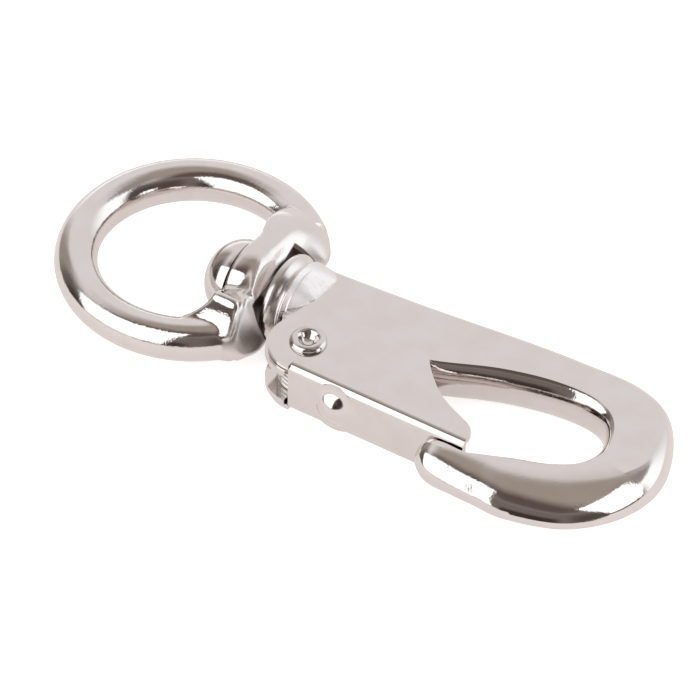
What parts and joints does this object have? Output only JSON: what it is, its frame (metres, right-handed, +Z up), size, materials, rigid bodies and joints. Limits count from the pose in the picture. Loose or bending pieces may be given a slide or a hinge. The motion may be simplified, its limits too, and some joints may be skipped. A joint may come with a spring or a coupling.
{
  "type": "swivel snap hook",
  "caption": "Swivel eye snap hook: round eye on a swivelling stud, flat-sided hook and a spring-loaded sheet gate with a thumb bump.",
  "frame": {"origin": "centre of the round eye", "axes": "+X along the swivel axis to the hook, +Y to the hook's closed back, +Z up, square to the hook's ground flats, as it lies"},
  "size_m": [0.0905, 0.0369, 0.0126],
  "materials": {
    "plated_casting": "bright plated casting",
    "plated_sheet": "bright plated sheet",
    "spring_wire": "drawn wire",
    "plated_rivet": "bright plated"
  },
  "bodies": {
    "hook": {"hook_body": "plated_casting", "gate_spring": "spring_wire", "gate_rivet": "plated_rivet"},
    "eye": {"swivel_eye": "plated_casting"},
    "gate": {"gate": "plated_sheet"}
  },
  "joints": [
    {"name": "eye_swivel", "type": "hinge", "parent": "hook", "child": "eye", "pos_m": [0.0106, 0, 0], "axis": [1, 0, 0], "continuous": true},
    {"name": "gate_hinge", "type": "hinge", "parent": "hook", "child": "gate", "pos_m": [0.0232, -0.0087, 0], "axis": [0, 0, 1], "range_deg": [0, 26], "stiffness_Nm_per_rad": 0.08, "springref_deg": -28.65, "deforming": ["gate_spring"]}
  ]
}
